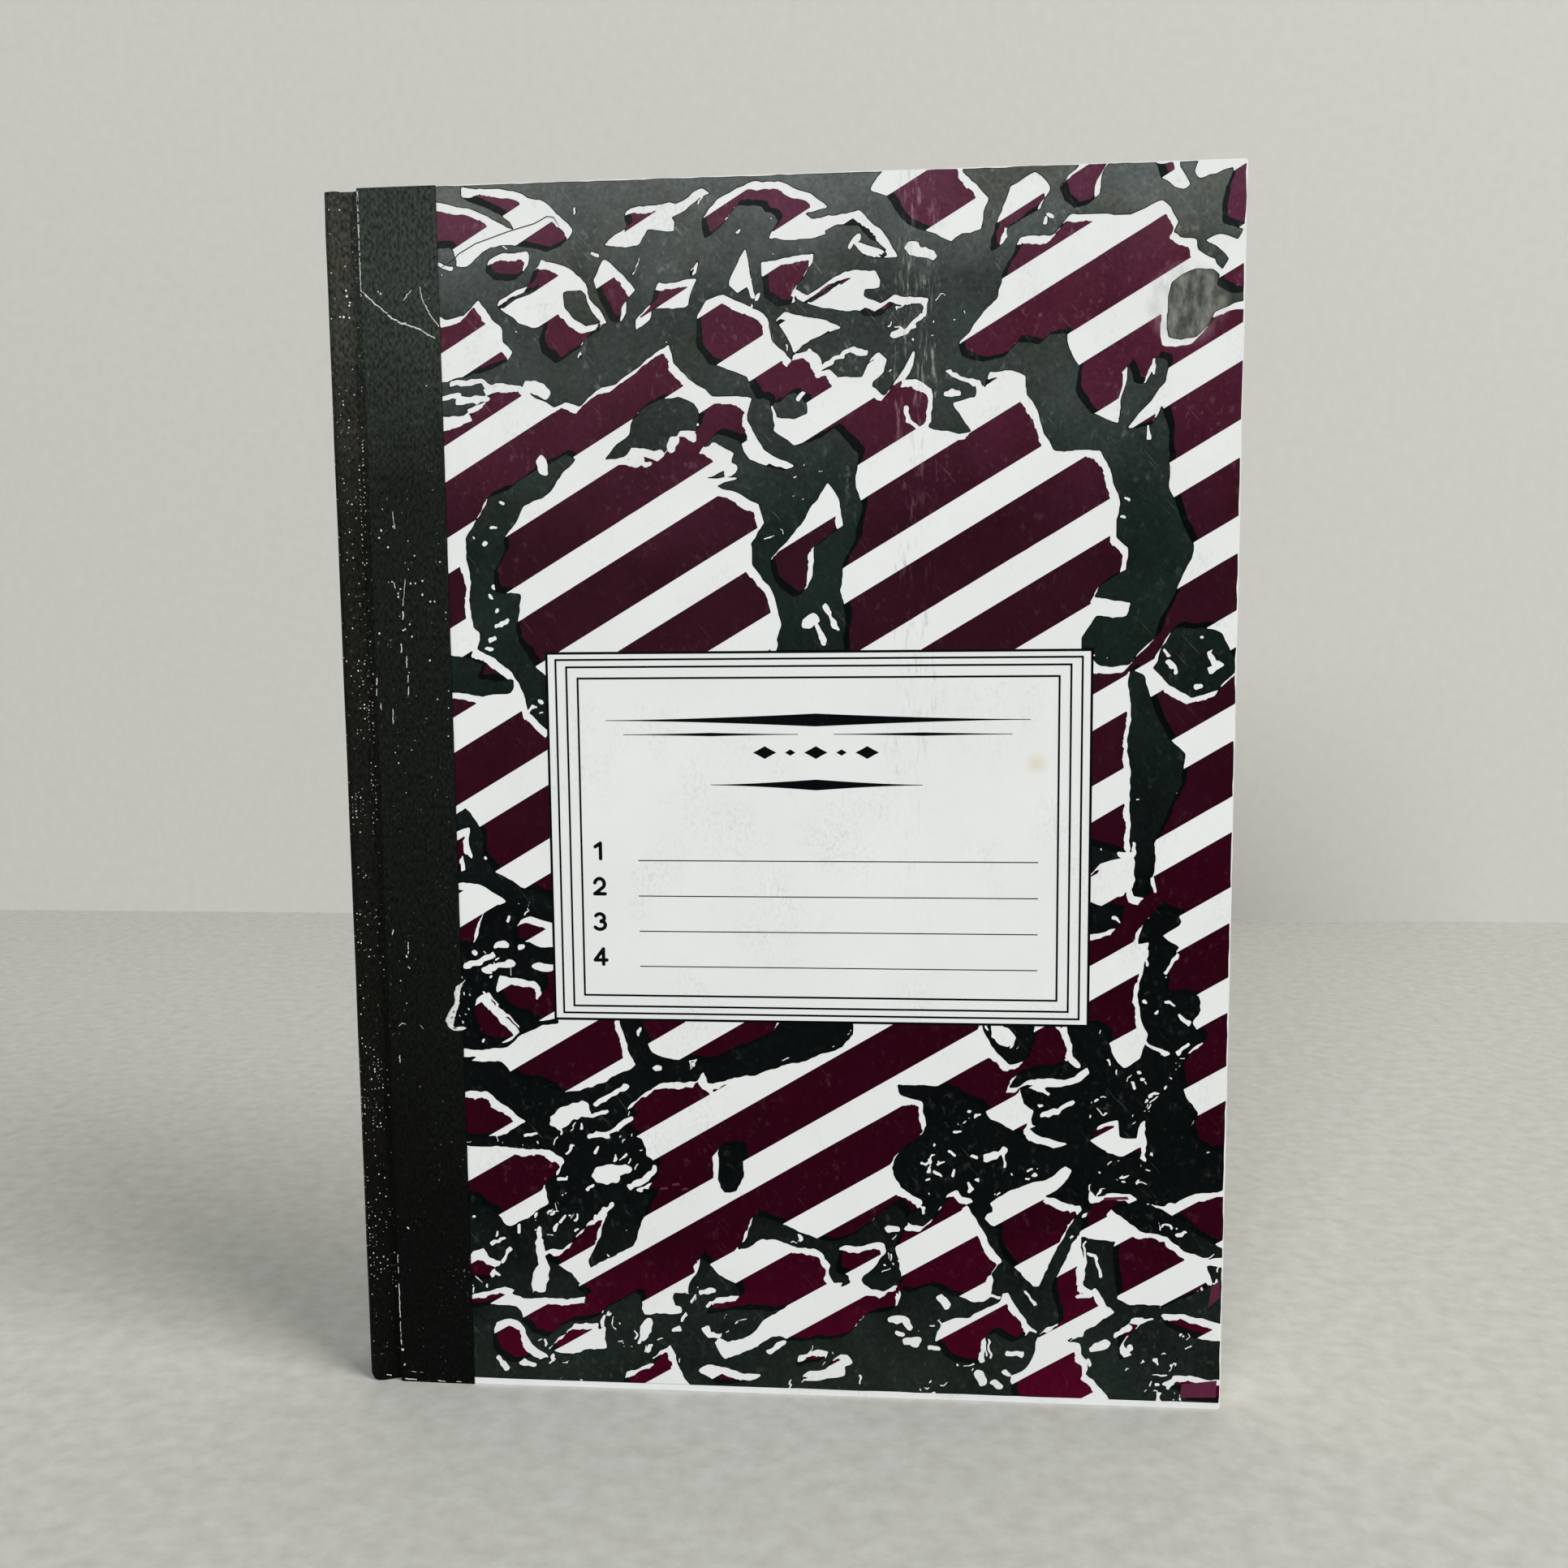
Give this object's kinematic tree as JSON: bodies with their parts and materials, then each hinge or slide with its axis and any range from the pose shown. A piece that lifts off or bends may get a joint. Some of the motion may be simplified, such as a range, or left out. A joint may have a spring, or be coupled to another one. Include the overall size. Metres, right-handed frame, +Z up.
{
  "type": "composition notebook",
  "caption": "Hard-cover composition notebook with striped, marbled covers, a dark cloth spine strip and a ruled label; both covers open on their joints.",
  "frame": {"origin": "on the ground under the middle of the standing notebook", "axes": "+Z up from the tail to the head of the leaves, +X from the spine to the fore-edge, -Y out of the front cover"},
  "size_m": [0.1812, 0.0158, 0.25],
  "materials": {
    "leaves": "matte",
    "endpaper": "matte",
    "thread": "matte",
    "kraft_lining": "matte",
    "greyboard": "matte",
    "book_cloth": "satin",
    "cover_paper": "satin",
    "maroon_ink": "satin",
    "marbling_ink": "satin",
    "black_ink": "satin"
  },
  "bodies": {
    "sewn_block": {"text_block": "leaves", "sewing_thread": "thread", "spine_lining": "kraft_lining", "spine_inlay": "greyboard", "spine_cloth": "book_cloth", "front_flyleaf": "endpaper", "back_flyleaf": "endpaper"},
    "front_cover": {"front_board": "greyboard", "front_cover_paper": "cover_paper", "front_cloth_wing": "book_cloth", "front_pastedown": "endpaper", "front_stripes": "maroon_ink", "front_marbling": "marbling_ink", "front_label_rules": "black_ink"},
    "back_cover": {"back_board": "greyboard", "back_cover_paper": "cover_paper", "back_cloth_wing": "book_cloth", "back_pastedown": "endpaper", "back_stripes": "maroon_ink", "back_marbling": "marbling_ink"}
  },
  "joints": [
    {"name": "front_cover_hinge", "type": "hinge", "parent": "sewn_block", "child": "front_cover", "pos_m": [-0.08412, -0.00808, 0.125], "axis": [0, 0, -1], "range_deg": [0, 180]},
    {"name": "back_cover_hinge", "type": "hinge", "parent": "sewn_block", "child": "back_cover", "pos_m": [-0.08412, 0.00808, 0.125], "axis": [0, 0, 1], "range_deg": [0, 180]}
  ]
}
